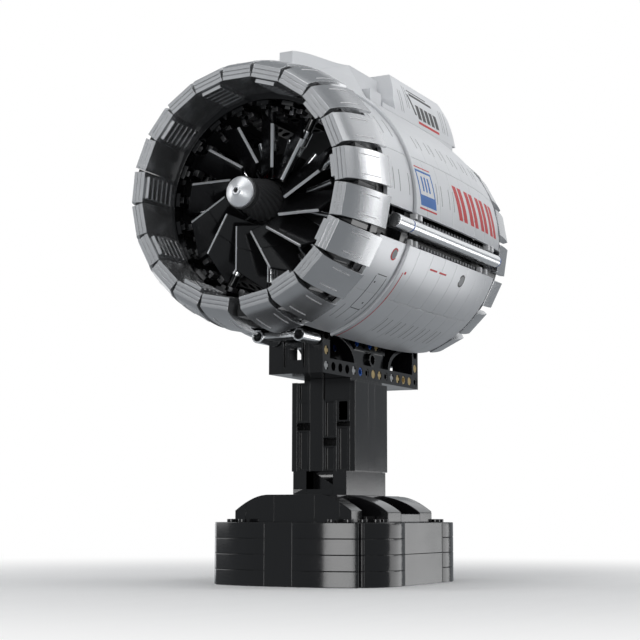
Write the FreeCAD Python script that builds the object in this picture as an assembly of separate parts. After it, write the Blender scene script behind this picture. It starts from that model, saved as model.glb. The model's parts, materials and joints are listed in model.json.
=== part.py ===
import FreeCAD, Part
import math
import os

os.makedirs("parts", exist_ok=True)
V = FreeCAD.Vector

# Grid of the building bricks
STUD = 8.0
PLATE = 3.2
BRICK = 9.6
HOLE_R = 2.4
PIN_FIT = 0.05
RUN_FIT = 0.05

# Stand
BASE_X = 51.5
BASE_Y = 64.5
COURSE_H = 8.0
COURSES = 4
BASE_TOP = COURSES * COURSE_H
COVER_TOP = BASE_TOP + 14.2
FOOT_TOP = COVER_TOP + PLATE + BRICK
NECK_Y = 4.0
NECK_W = 4 * STUD
NECK_D = 5 * STUD
FOOT_D = 6 * STUD
SADDLE_Z = FOOT_TOP + 49.8
SADDLE_Y = 13.0
SADDLE_L = 15 * STUD
SADDLE_W = 4 * STUD
SADDLE_TOP = SADDLE_Z + 3 * STUD

# Nacelle, along Y with the inlet at the low end
AXIS_Z = SADDLE_TOP + 61.2
INLET_Y = -109.4
INLET_R = 61.0
LIP_R = 54.6
INLET_RISE = 1.8
PETALS = 21
PETAL_PITCH = 16.9
PETAL_W = 2 * STUD - 0.1
PETAL_BACK = -84.0
COLLAR_Y = -77.0
COWL_FRONT = -48.0
COWL_REAR = 77.8
COWL_IN = 65.9
FRAME_R = 65.6
DUCT_R = 53.2
RING_Y = COWL_REAR - 9.8
REAR_Y = COWL_REAR + 0.6
TAIL_Y = REAR_Y + 21.6
TAIL_PITCH = 18.5

# Split line along each side, and the doors above it
DOOR_TOP = 14.6
DOOR_LOW = 95.5
COWL_HIGH = 109.2
COWL_LOW = 162.5
HINGE_X = 17.2
HINGE_Z = AXIS_Z + 66.0
TUBE_X = 68.0
TUBE_Z = AXIS_Z - 14.0
TUBE_R = 3.5
TUBE_JOINT = -53.0
TUBE_END = COWL_REAR - 12.3

# Fan
BLADES = 12
BLADE_Y = -91.0
BLADE_T = 1.9
BLADE_SIDE = 10.1
BLADE_CHORD = 16.0
BLADE_TURN = 46.0
HUB_R = 12.0
HUB_END = -79.0
SHAFT_R = 2.4
STATOR_Y = -73.0

# Pylon
SKIRT_Z = AXIS_Z + 70.5
SKIRT_FRONT = -60.0
PYLON_REAR = 134.0
PYLON_TOP = 295.0


def box(x0, x1, y0, y1, z0, z1):
    return Part.makeBox(x1 - x0, y1 - y0, z1 - z0, V(x0, y0, z0))


def rod(centre, direction, radius, length):
    return Part.makeCylinder(radius, length, V(*centre), V(*direction))


def pipe(centre, direction, radius, bore, length):
    return rod(centre, direction, radius, length).cut(rod(centre, direction, bore, length))


def face(runs, place):
    """A face inside runs of points: two points are a line, more are a smooth curve."""
    edges = []
    for run in runs:
        pts = [place(*p) for p in run]
        if len(pts) == 2:
            edges.append(Part.LineSegment(*pts).toShape())
        else:
            curve = Part.BSplineCurve()
            curve.interpolate(pts)
            edges.append(curve.toShape())
    return Part.Face(Part.Wire(edges))


def closed(points):
    return [[a, b] for a, b in zip(points, points[1:] + points[:1])]


def solid_x(runs, x0, x1):
    return face(runs, lambda y, z: V(x0, y, z)).extrude(V(x1 - x0, 0, 0))


def solid_y(runs, y0, y1):
    return face(runs, lambda x, z: V(x, y0, z)).extrude(V(0, y1 - y0, 0))


def solid_z(runs, z0, z1):
    return face(runs, lambda x, y: V(x, y, z0)).extrude(V(0, 0, z1 - z0))


def at_angle(shape, angle):
    """A copy turned about the engine axis, clockwise as seen from the inlet."""
    copy = shape.copy()
    copy.rotate(V(0, 0, AXIS_Z), V(0, 1, 0), angle)
    return copy


def turned(runs, start=0.0, end=360.0):
    """Runs of (y, radius) swept about the engine axis from start to end."""
    flat = at_angle(face(runs, lambda y, r: V(0, y, AXIS_Z + r)), start)
    return flat.revolve(V(0, 0, AXIS_Z), V(0, 1, 0), end - start)


def radial_slab(runs, width):
    """Runs of (y, radius) given a constant width across the engine axis."""
    return solid_x([[(y, AXIS_Z + r) for y, r in run] for run in runs], -width / 2, width / 2)


def ring(y0, y1, r0, r1, start=0.0, end=360.0):
    return turned(closed([(y0, r0), (y1, r0), (y1, r1), (y0, r1)]), start, end)


def mirrored(shape):
    return shape.mirror(V(0, 0, 0), V(1, 0, 0))


def both(shapes):
    return shapes + [mirrored(s) for s in shapes]


def save(name, solids):
    Part.makeCompound(solids).exportStep("parts/%s.step" % name)


def drilled(shape, y0, z, x0, x1, count, skip=()):
    """Cuts a row of holes along Y through a beam's thickness."""
    for i in range(count):
        if i not in skip:
            shape = shape.cut(rod((x0 - 1, y0 + (i + 0.5) * STUD, z), (1, 0, 0), HOLE_R, x1 - x0 + 2))
    return shape


# ---------------------------------------------------------------- stand

def base_plan():
    """A quarter of the outline, then its mirror images: bulging sides and notched corners."""
    quarter = [
        [(BASE_X, STUD * 3), (BASE_X - 2.5, BASE_Y - 19.2), (BASE_X - 8.5, BASE_Y - 10.6)],
        [(BASE_X - 8.5, BASE_Y - 10.6), (41.2, BASE_Y - 10.6)],
        [(41.2, BASE_Y - 10.6), (41.2, BASE_Y - 7.6)],
        [(41.2, BASE_Y - 7.6), (26, BASE_Y - 2.2), (STUD, BASE_Y)],
    ]
    flip = lambda runs, sx, sy: [[(sx * x, sy * y) for x, y in run] for run in runs]
    back = lambda runs: [run[::-1] for run in runs[::-1]]
    q1, q2 = quarter, back(flip(quarter, -1, 1))
    q3, q4 = flip(quarter, -1, -1), back(flip(quarter, 1, -1))
    runs = q1 + [[q1[-1][-1], q2[0][0]]] + q2 + [[q2[-1][-1], q3[0][0]]]
    return runs + q3 + [[q3[-1][-1], q4[0][0]]] + q4 + [[q4[-1][-1], q1[0][0]]]


def build_base():
    pocket = 2.0
    pockets = [box(-STUD, STUD, s * BASE_Y - pocket, s * BASE_Y + pocket, -1, BASE_TOP + 1) for s in (-1, 1)]
    pockets += [box(s * BASE_X - pocket, s * BASE_X + pocket, -3 * STUD, 3 * STUD, -1, BASE_TOP + 1)
                for s in (-1, 1)]
    plan = solid_z(base_plan(), 0, COURSE_H)
    for p in pockets:
        plan = plan.cut(p)
    courses = []
    for i in range(COURSES):
        layer = plan.copy()
        layer.translate(V(0, 0, i * COURSE_H))
        courses.append(layer)
    save("base_courses", courses)
    ends = [box(-STUD, STUD, -BASE_Y, -BASE_Y + pocket, 0, BASE_TOP),
            box(-STUD, STUD, BASE_Y - pocket, BASE_Y, 0, BASE_TOP)]
    half = BASE_TOP / 2
    sides = [box(BASE_X - pocket, BASE_X, -3 * STUD, 3 * STUD, z, z + half) for z in (0, half)]
    save("base_panels", ends + both(sides))
    spots = [(-34, -53.5), (-26, -56), (34, -53.5), (26, -56), (44, -33), (43, -40), (39, -47)]
    spots += [(x, -y) for x, y in spots] + [(-44, -33), (-44, 33)]
    save("base_studs", [rod((x, y, BASE_TOP), (0, 0, 1), HOLE_R, 1.7) for x, y in spots])


def vault(half, y0, y1):
    """A wall that is highest in the middle and curves down to both sides."""
    z = BASE_TOP
    side = [(half, z + 6), (half - 5, z + 9.4), (half - 12, z + 12.8), (half - 20, COVER_TOP)]
    left = [(-x, h) for x, h in side]
    runs = [[(-half, z), (half, z)], [(half, z), side[0]], side, [side[-1], left[-1]], left[::-1],
            [left[0], (-half, z)]]
    return solid_y(runs, y0, y1)


def build_cover():
    front, rear = -50.0, 50.0
    save("cover_ends", [vault(34, front, front + 12), vault(34, rear - 12, rear)])
    deck = box(-20, 20, front + 12, rear - 12, BASE_TOP, COVER_TOP)
    save("cover_deck", [deck])
    curve = [(20, COVER_TOP), (28, COVER_TOP - 1.6), (36, COVER_TOP - 4.6), (43, BASE_TOP + 5.2)]
    runs = [[(20, BASE_TOP), (43, BASE_TOP)], [(43, BASE_TOP), curve[-1]], curve[::-1],
            [curve[0], (20, BASE_TOP)]]
    fins = [solid_y(runs, y, y + 2 * STUD) for y in (-26.0, 14.0)]
    save("cover_fins", both(fins))
    wall = box(40, 43, -10, 14, BASE_TOP, BASE_TOP + 4.4)
    tray = box(20, 40, -10, 14, BASE_TOP, BASE_TOP + 1.6)
    lug = box(24, 36, -37, -27, BASE_TOP, BASE_TOP + PLATE)
    lug = lug.cut(rod((30, -32, BASE_TOP - 1), (0, 0, 1), HOLE_R, PLATE + 2))
    save("cover_trays", both([wall.fuse(tray), lug]))


def channel(x0, z0, z1, depth):
    """A column brick with a shallow upright recess in its front face."""
    y0 = NECK_Y - NECK_D / 2
    body = box(x0, x0 + STUD, y0, y0 + depth, z0, z1)
    return body.cut(box(x0 + 1.6, x0 + STUD - 1.6, y0 - 1, y0 + 1.6, z0 + 1.0, z1 - 1.0))


def build_neck():
    w, front = NECK_W / 2, NECK_Y - NECK_D / 2
    foot_y = NECK_Y - FOOT_D / 2
    foot = box(-w, w, foot_y, foot_y + FOOT_D, COVER_TOP + PLATE, FOOT_TOP)
    foot = foot.cut(box(-STUD, STUD, foot_y - 1, foot_y + STUD, COVER_TOP, FOOT_TOP + 1))
    plate = box(-w, w, foot_y, foot_y + FOOT_D, COVER_TOP, COVER_TOP + PLATE)
    save("neck_foot", [foot, plate])
    beam = box(-STUD, 0, front, front + STUD, FOOT_TOP, SADDLE_Z)
    save("neck_core", [box(-w, w, front + STUD, front + NECK_D, FOOT_TOP, SADDLE_Z), beam])
    stacks = [(-16, FOOT_TOP, 81.0), (-16, 85.0, 96.9), (-16, 96.9, 106.8),
              (0, FOOT_TOP, 72.4), (0, 76.7, 96.9), (8, FOOT_TOP, 82.7), (8, 85.3, 96.9)]
    cap = box(0, w, front + 1.2, front + STUD, 96.9, SADDLE_Z)
    save("neck_channels", [channel(x, a, b, STUD) for x, a, b in stacks] + [cap])
    panels = []
    for a, b in ((0, 2), (2, 3), (3, 5)):
        panels.append(box(w, w + PLATE, front + a * STUD, front + b * STUD - 0.06, FOOT_TOP, FOOT_TOP + 48))
    save("neck_side_panels", both(panels))


# ---------------------------------------------------------------- saddle

def saddle_beam(y0, count, post=None):
    """One five-hole section of a side beam, with an upright post at one end if asked."""
    x0, x1 = SADDLE_W / 2 - STUD, SADDLE_W / 2
    z = SADDLE_Z
    shape = box(x0, x1, y0, y0 + count * STUD, z, z + STUD)
    if post is not None:
        py = y0 + post * STUD
        shape = shape.fuse(box(x0, x1, py, py + STUD, z, SADDLE_TOP)).removeSplitter()
        for k in (1, 2):
            shape = shape.cut(rod((x0 - 1, py + STUD / 2, z + (k + 0.5) * STUD), (1, 0, 0), HOLE_R, STUD + 2))
    return drilled(shape, y0, z + STUD / 2, x0, x1, count)


def arch(low_y, high_y):
    """A quarter arch from the lower beam up to the top of an end post."""
    x0, x1 = SADDLE_W / 2 - STUD, SADDLE_W / 2 - 0.4
    bottom, top = SADDLE_Z + STUD, SADDLE_TOP
    s = 1 if high_y > low_y else -1
    span, rise, t = abs(high_y - low_y), top - bottom, 2.6
    at = lambda u, v: (low_y + s * u, bottom + v)
    quarter = [math.radians(a) for a in (0, 22.5, 45, 67.5, 90)]
    outer = [at(span * (1 - math.cos(a)), rise * math.sin(a)) for a in quarter]
    inner = [at(t + (span - t) * (1 - math.cos(a)), (rise - t) * math.sin(a)) for a in quarter]
    runs = [outer, [outer[-1], inner[-1]], inner[::-1], [inner[0], outer[0]]]
    return solid_x(runs, x0, x1)


def cross(y, z, length, x1):
    arm, half = 0.9, 2.2
    bars = box(x1 - length, x1, y - half, y + half, z - arm, z + arm)
    return bars.fuse(box(x1 - length, x1, y - arm, y + arm, z - half, z + half)).removeSplitter()


def build_saddle():
    y0 = SADDLE_Y - SADDLE_L / 2
    xs = SADDLE_W / 2
    z = SADDLE_Z
    beams = [saddle_beam(y0, 5, 0), saddle_beam(y0 + 40, 5), saddle_beam(y0 + 80, 5, 4)]
    save("saddle_beams", both(beams))
    save("saddle_arches", both([arch(y0 + 40, y0 + STUD), arch(y0 + 80, y0 + SADDLE_L - STUD)]))
    upper = box(xs - STUD, xs - 2, y0 + 41, y0 + 79, SADDLE_TOP - STUD, SADDLE_TOP)
    upper = drilled(upper, y0 + 40, SADDLE_TOP - 4, xs - STUD, xs, 5)
    web = box(xs - STUD, xs - 3, y0 + 41, y0 + 79, z + STUD, SADDLE_TOP - STUD)
    hub = pipe((xs - 3, SADDLE_Y + 1, z + 12), (1, 0, 0), 3.9, 2.6, 2.2)
    web = web.cut(rod((xs - STUD - 1, SADDLE_Y + 1, z + 12), (1, 0, 0), 2.6, STUD))
    save("saddle_webs", both([upper, web]))
    floor = box(-xs + STUD, xs - STUD, y0 + STUD, y0 + SADDLE_L - STUD, z, z + STUD)
    end = box(-xs + STUD, xs - STUD, y0, y0 + STUD, z, SADDLE_TOP)
    end = end.cut(box(-3.2, 3.2, y0 - 1, y0 + STUD + 1, z + 7, z + 13.4))
    for x in (-7.2, 4.4):
        end = end.cut(box(x, x + 2.8, y0 - 1, y0 + 1.4, z + 3.4, z + 17))
    rear = end.mirror(V(0, SADDLE_Y, 0), V(0, 1, 0))
    save("saddle_blocks", [floor, end, rear])
    tip = xs - 0.2
    hole = lambda i, k: (y0 + (i + 0.5) * STUD, z + (k + 0.5) * STUD)
    disc = lambda i, k: rod((tip - 6, *hole(i, k)), (1, 0, 0), HOLE_R - PIN_FIT, 6)
    loop = lambda i, k, x=tip: pipe((x - 6, *hole(i, k)), (1, 0, 0), HOLE_R - PIN_FIT, 1.5, 6)
    star = lambda i, k, x=tip: cross(*hole(i, k), 6, x)
    save("pins_tan", both([star(0, 1), disc(7, 0), star(8, 0), star(11, 0), loop(12, 0), disc(13, 0),
                           disc(14, 1), star(8, 2, tip - 2)]))
    save("pins_blue", both([loop(5, 0), loop(5, 2, tip - 2), loop(7, 2, tip - 2)]))
    save("pins_grey", both([star(0, 0), star(4, 0), star(10, 0)]))
    save("pins_black", both([loop(6, 0), loop(9, 0), loop(14, 0), loop(9, 2, tip - 2), hub]))


# ---------------------------------------------------------------- inlet

def petal_angles():
    return [PETAL_PITCH * k for k in range(-(PETALS // 2), PETALS // 2 + 1)]


OUTER = [(INLET_Y, INLET_R), (-104.8, 63.6), (-98, 66.1), (-88, 68.4), (-77.2, 69.5)]
UNDER = [(-77.2, 68.3), (-80, 67.8), (PETAL_BACK, 66.9)]


def petal(tongue):
    """A curved brick of the inlet ring; every second one has a narrower ribbed tongue inside."""
    inner = [(PETAL_BACK, 53.5), (-100, 53.6), (INLET_Y, LIP_R)]
    runs = [OUTER, [OUTER[-1], UNDER[0]], UNDER, [UNDER[-1], inner[0]], inner, [inner[-1], OUTER[0]]]
    body = radial_slab(runs, PETAL_W)
    for r in (56.8, 58.9):
        groove = box(-PETAL_W, PETAL_W, INLET_Y - 1, INLET_Y + 0.35, AXIS_Z + r - 0.15, AXIS_Z + r + 0.15)
        body = body.cut(groove)
    if not tongue:
        return body
    ribs = [(INLET_Y + 1.4, 54.2), (INLET_Y + 1.4, 52.2)]
    for y in (-104.5, -100.5, -96.5, -92.5, -88.5):
        ribs += [(y - 0.5, 52.2), (y - 0.5, 52.8), (y + 0.5, 52.8), (y + 0.5, 52.2)]
    ribs += [(PETAL_BACK, 52.2), (PETAL_BACK, 54.2)]
    return body.fuse(radial_slab(closed(ribs), 11.0)).removeSplitter()


def spacer(width, angle):
    """The dark wedge seen between two petals."""
    y0, y1 = -102.5, PETAL_BACK
    low, high = 57.4, 64.4
    grow = math.sin(math.radians(PETAL_PITCH / 2)) * 2
    a, b = width, width + (high - low) * grow
    pts = [V(-a / 2, y0, AXIS_Z + low), V(a / 2, y0, AXIS_Z + low),
           V(b / 2, y0, AXIS_Z + high), V(-b / 2, y0, AXIS_Z + high)]
    end = Part.Face(Part.makePolygon(pts + pts[:1]))
    wedge = end.extrude(V(0, y1 - y0, 0))
    return at_angle(wedge, angle)


def raised(solids):
    """The inlet ring sits a little above the engine axis."""
    for s in solids:
        s.translate(V(0, 0, INLET_RISE))
    return solids


def build_inlet():
    kinds = {False: petal(False), True: petal(True)}
    smooth, ribbed = [], []
    for k, a in enumerate(petal_angles()):
        odd = (k - PETALS // 2) % 2 == 1
        (ribbed if odd else smooth).append(at_angle(kinds[odd], a))
    save("petals_smooth", raised(smooth))
    save("petals_ribbed", raised(ribbed))
    gaps = [PETAL_PITCH * (k + 0.5) for k in range(-(PETALS // 2), PETALS // 2)]
    bottom = radial_slab(closed([(-102.5, 57.4), (PETAL_BACK, 57.4), (PETAL_BACK, 64.4), (-102.5, 63.6)]), 4.6)
    save("petal_spacers", raised([spacer(0.7, a) for a in gaps] + [at_angle(bottom, 180)]))
    clip = radial_slab(closed([(-83.6, 49.4), (-77.4, 49.4), (-77.4, 51.8), (-83.6, 51.8)]), 7.0)
    clip = clip.fuse(radial_slab(closed([(-82.6, 47.6), (-79.4, 47.6), (-79.4, 49.4), (-82.6, 49.4)]), 3.0))
    save("petal_clips", [at_angle(clip.removeSplitter(), a) for a in petal_angles()])
    skin = [(COLLAR_Y, 67.2), (-62, 68.0), (-48.6, 68.4)]
    runs = [skin, [skin[-1], (-48.6, COWL_IN)], [(-48.6, COWL_IN), (COLLAR_Y, COWL_IN)],
            [(COLLAR_Y, COWL_IN), skin[0]]]
    save("collar_upper", [turned(runs, -DOOR_LOW, DOOR_LOW)])
    save("collar_lower", both([turned(runs, COWL_HIGH, COWL_LOW)]))
    tube = pipe((12, -66, AXIS_Z - 67.2), (0, 1, 0), 3.5, 2.5, 18)
    plate = box(-8.45, 8.45, -65, -52.2, AXIS_Z - 68.4, AXIS_Z - 65.4)
    block = box(-6, 6, -64, -52.2, AXIS_Z - 65.4, AXIS_Z - 50).cut(ring(-70, -50, 0, DUCT_R + 0.95))
    save("chin_tubes", both([tube]) + [plate.fuse(block).removeSplitter()])


# ---------------------------------------------------------------- frame and cowls

def build_frame():
    saddle = box(-SADDLE_W / 2, SADDLE_W / 2, -200, 200, 0, SADDLE_TOP)
    front = ring(PETAL_BACK, COLLAR_Y, 52.2, 64.8)
    mid = ring(-52, -44, 54.2, FRAME_R).cut(saddle)
    rear = ring(RING_Y, REAR_Y, 54.2, 62.8).cut(saddle)
    save("frame_rings", [front, mid, rear, ring(REAR_Y, TAIL_Y - 4, 56.6, 59.4)])
    save("duct_wall", [ring(COLLAR_Y, RING_Y, DUCT_R, DUCT_R + 0.9)])
    slat = box(-3.2, 3.2, -76.8, -20.8, AXIS_Z + 49.6, AXIS_Z + 52.7)
    for i in range(7):
        slat = slat.cut(rod((0, -76.8 + (i + 0.5) * STUD, AXIS_Z + 48), (0, 0, 1), HOLE_R, 7))
    save("duct_slats", [at_angle(slat, a) for a in petal_angles()])
    rails = []
    for y0, y1 in ((COLLAR_Y, -52.0), (-44.0, RING_Y)):
        n = int((y1 - y0) // STUD)
        pad = (y1 - y0 - n * STUD) / 2
        for x0, x1, z0, z1 in ((56.5, 62.8, TUBE_Z + 3.4, TUBE_Z + 9.4), (52.4, 58.4, TUBE_Z - 10.5, TUBE_Z - 3.4)):
            bar = box(x0, x1, y0, y1, z0, z1)
            rails.append(drilled(bar, y0 + pad, (z0 + z1) / 2, x0, x1, n))
        rails.append(box(58, 64.2, y0, y1, TUBE_Z - 3.3, TUBE_Z + 3.3))
    save("side_rails", both(rails))


COWL_SKIN = [(COWL_FRONT, 69.0), (-30, 69.8), (0, 70.3), (30, 70.0), (50, 69.2), (65, 67.8), (COWL_REAR, 65.9)]


def cowl(start, end):
    inner = [(COWL_REAR, 63.3), (45, COWL_IN)]
    runs = [COWL_SKIN, [COWL_SKIN[-1], inner[0]], inner, [inner[-1], (COWL_FRONT, COWL_IN)],
            [(COWL_FRONT, COWL_IN), COWL_SKIN[0]]]
    shell = turned(runs, start, end)
    lip = closed([(COWL_FRONT, 68.4), (COWL_FRONT + 2.6, 68.4), (COWL_FRONT + 2.2, 70.0), (COWL_FRONT, 70.0)])
    return shell.fuse(turned(lip, start, end)).removeSplitter()


def door_clip(y):
    return box(64.6, 69.6, y, y + 2.4, TUBE_Z + 4.2, TUBE_Z + 7.0)


def build_cowls():
    door = cowl(DOOR_TOP, DOOR_LOW)
    for y in (-36.0, 12.0, 60.0):
        door = door.cut(rod((HINGE_X, y, HINGE_Z), (0, 1, 0), 1.9, STUD))
    lower = cowl(COWL_HIGH, COWL_LOW)
    save("door_right", [door])
    save("door_left", [mirrored(door)])
    save("cowl_lower_right", [lower])
    save("cowl_lower_left", [mirrored(lower)])
    edge = AXIS_Z + 70 * math.cos(math.radians(DOOR_LOW))
    upper = [box(65.4, 68.6, y, y + 2.4, edge - 2.6, edge + 0.2) for y in (-46, -40, 54, 60)]
    upper = [u.cut(door) for u in upper]
    save("door_clips_right", upper)
    save("door_clips_left", [mirrored(u) for u in upper])
    low = AXIS_Z + 67 * math.cos(math.radians(COWL_HIGH))
    clips = [box(58.6, 64.6, y, y + 2.4, low - 0.2, low + 3.0) for y in (-43, -37, 52, 60)]
    save("lower_clips", both([c.cut(lower) for c in clips]))
    pins = [rod((HINGE_X, y + 0.3, HINGE_Z), (0, 1, 0), 1.5, STUD - 0.6) for y in (-36.0, 12.0, 60.0)]
    lugs = [box(12, HINGE_X - 0.8, y + 2.4, y + 5.6, HINGE_Z - 0.8, HINGE_Z + 0.8) for y in (-36.0, 12.0, 60.0)]
    save("door_hinges", both([p.fuse(g).removeSplitter() for p, g in zip(pins, lugs)]))
    short = rod((TUBE_X, COLLAR_Y + 7, TUBE_Z), (0, 1, 0), TUBE_R, TUBE_JOINT - 0.8 - COLLAR_Y - 7)
    long = rod((TUBE_X, TUBE_JOINT + 0.8, TUBE_Z), (0, 1, 0), TUBE_R, TUBE_END - TUBE_JOINT - 0.8)
    save("side_tubes", both([short, long]))
    save("tube_joints", both([rod((TUBE_X, y, TUBE_Z), (0, 1, 0), 3.3, 1.6) for y in (TUBE_JOINT - 0.8, TUBE_END)]))


# ---------------------------------------------------------------- tail

def build_tail():
    skin = [(REAR_Y, 66.2), (REAR_Y + 9.6, 65.0), (TAIL_Y, 62.4)]
    runs = [skin, [skin[-1], (TAIL_Y, 59.6)], [(TAIL_Y, 59.6), (REAR_Y, 59.6)], [(REAR_Y, 59.6), skin[0]]]
    block = radial_slab(runs, PETAL_W)
    angles = [24.75 + TAIL_PITCH * k for k in range(8)]
    save("tail_petals", [at_angle(block, s * a) for a in angles for s in (1, -1)])
    cover = [(-60, 27.0), (10, 31.0), (60, 30.0), (96, 22.0)]
    inside = [(96, 19.8), (60, 27.6), (10, 28.6), (-60, 24.6)]
    save("core_case", [turned([cover, [cover[-1], inside[0]], inside, [inside[-1], cover[0]]])])
    plug = [(70, 16.0), (90, 15.0), (108, 9.0), (118, 2.0)]
    save("exhaust_plug", [turned([plug, [plug[-1], (118, 0)], [(118, 0), (70, 0)], [(70, 0), plug[0]]])])
    fin = box(-1.6, 1.6, RING_Y - 8, RING_Y - 0.2, AXIS_Z + 30.3, AXIS_Z + 52.8)
    vane = box(-1.0, 1.0, 71, 79, AXIS_Z + 16.2, AXIS_Z + 22.4)
    fins = [at_angle(fin, 30 + 60 * k) for k in range(6)]
    save("rear_struts", fins + [at_angle(vane, 90 * k) for k in range(4)])


# ---------------------------------------------------------------- stator and fan

def build_stator():
    bore = SHAFT_R + RUN_FIT
    runs = closed([(-77.6, bore), (-60, bore), (-60, 27.4), (-66, 27.4), (-68.4, 13), (-77.6, 11)])
    save("stator_hub", [turned(runs), ring(28, 34, bore, 28.95)])
    arm = rod((0, STATOR_Y, AXIS_Z + 12.5), (0, 0, 1), 2.2, 36.9)
    save("stator_arms", [at_angle(arm, 30 * k) for k in range(BLADES)])
    bushes = []
    for k in range(BLADES):
        for r0 in (33.0, 37.2):
            half = pipe((0, STATOR_Y, AXIS_Z + r0), (0, 0, 1), 3.1, 2.3, 4.0)
            bushes.append(at_angle(half, 30 * k))
    save("stator_bushes", bushes)
    bar = rod((0, -69.6, AXIS_Z + 20), (0, 0, 1), 1.6, 14)
    foot = rod((0, -69.6, AXIS_Z + 20.5), (0, 1, 0), 1.6, 2.2)
    save("stator_bars", [at_angle(bar.fuse(foot).removeSplitter(), 15 + 30 * k) for k in range(BLADES)])
    save("red_stop", [at_angle(rod((0, -74, AXIS_Z + 16.5), (0, 1, 0), 1.6, 5.8), -15)])


def blade_piece(inner):
    """One half of a flat blade, cut across the middle and set at a slant to the axis."""
    seam = 25.2
    if inner:
        pts = [(0, 13.8), (BLADE_CHORD, 12.6), (BLADE_CHORD, seam + 2.4), (0, seam)]
    else:
        pts = [(0, seam + 0.1), (BLADE_CHORD, seam + 2.5), (BLADE_CHORD, 46.6), (0, 36.8)]
    runs = closed([(BLADE_Y + s, AXIS_Z + r) for s, r in pts])
    plate = solid_x(runs, BLADE_SIDE - BLADE_T / 2, BLADE_SIDE + BLADE_T / 2)
    plate.rotate(V(BLADE_SIDE, BLADE_Y, AXIS_Z), V(0, 0, 1), BLADE_TURN)
    return plate


def build_fan():
    dish = [(-107.2, 2.2), (-106.6, 4.6), (-105.6, 6.6), (-104.4, 7.9)]
    runs = [dish, [dish[-1], (-103.4, 7.9)], [(-103.4, 7.9), (-103.4, 1.3)], [(-103.4, 1.3), (-108, 1.3)],
            [(-108, 1.3), (-108, 2.2)], [(-108, 2.2), dish[0]]]
    save("spinner", [turned(runs)])
    cone = [(-100.2, 8.0), (-94, 8.9), (-87, 10.4), (HUB_END, HUB_R)]
    runs = [cone, [cone[-1], (HUB_END, SHAFT_R)], [(HUB_END, SHAFT_R), (-100.2, SHAFT_R)],
            [(-100.2, SHAFT_R), cone[0]]]
    save("fan_hub", [turned(runs), ring(-103.4, -100.2, SHAFT_R, 8.6)])
    for name, inner in (("blades_inner", True), ("blades_outer", False)):
        piece = blade_piece(inner)
        save(name, [at_angle(piece, 360 / BLADES * k) for k in range(BLADES)])
    save("fan_shaft", [rod((0, -103.2, AXIS_Z), (0, 1, 0), SHAFT_R, 141)])


# ---------------------------------------------------------------- pylon

def build_pylon():
    w = SADDLE_W / 2
    z = SKIRT_Z
    rear = RING_Y + 6
    beam = box(-12, 12, -48, rear, AXIS_Z + FRAME_R, z)
    save("pylon_beam", [beam, box(-12, 12, RING_Y + 0.2, rear, AXIS_Z + 62.8, AXIS_Z + FRAME_R)])
    plan = [(-4, SKIRT_FRONT), (4, SKIRT_FRONT), (w, 4), (w, 129), (-w, 129), (-w, 4)]
    skirt = solid_z(closed(plan), z, z + PLATE)
    base, half = z + PLATE, 8.0
    brackets = both([box(4, w, 10, 24, base, base + 7), box(4, w, 26, 43.8, base, base + 3)])
    save("pylon_skirt", [skirt] + brackets)
    top = [(SKIRT_FRONT + 1, z + 14), (-44, z + 17), (-8, z + 21.5), (8, z + 24.5)]
    ridge = [top, [top[-1], (44, z + 24.5)], [(44, z + 24.5), (44, z + PLATE)],
             [(44, z + PLATE), (SKIRT_FRONT + 1, z + PLATE)], [(SKIRT_FRONT + 1, z + PLATE), top[0]]]
    save("pylon_ridge", [solid_x(ridge, -4, 4)])
    tip, back = V(4, SKIRT_FRONT + 3, z + PLATE), 6.0
    a, b, c = V(4, back, z + PLATE), V(15.6, back, z + PLATE), V(4, back, z + 24)
    sides = [Part.Face(Part.makePolygon(p + p[:1])) for p in ([tip, a, b], [tip, b, c], [tip, c, a], [a, c, b])]
    save("pylon_wedges", both([Part.makeSolid(Part.makeShell(sides))]))
    flank = [(w, base), (14.6, base + 9), (11.8, base + 19), (half, PYLON_TOP)]
    left = [(-x, h) for x, h in flank]
    runs = [[(-w, base), (w, base)], flank, [flank[-1], left[-1]], left[::-1]]
    block = solid_y(runs, 44, PYLON_REAR)
    nose = closed([(43, base + 8), (43, 400), (52, 400), (52, PYLON_TOP), (47, base + 16)])
    tail = closed([(124, 400), (124, PYLON_TOP), (130, base + 18), (132.5, base + 8), (PYLON_REAR, base), (140, base),
                   (140, 400)])
    block = block.cut(solid_x(nose, -30, 30)).cut(solid_x(tail, -30, 30))
    save("pylon_block", [block])


build_base()
build_cover()
build_neck()
build_saddle()
build_inlet()
build_frame()
build_cowls()
build_tail()
build_stator()
build_fan()
build_pylon()
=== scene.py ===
# %% [markdown]
# A jet engine built from plastic bricks, on a black pedestal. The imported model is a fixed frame: every
# piece here is placed from it, in metres, so nothing is fitted by eye. Blender adds what the frame
# lacks: rounded brick edges, panel joints, flutes, printed marks and the look of moulded plastic.
# %% Load the frame
import bpy
import json
import math
from mathutils import Matrix, Vector

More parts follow.
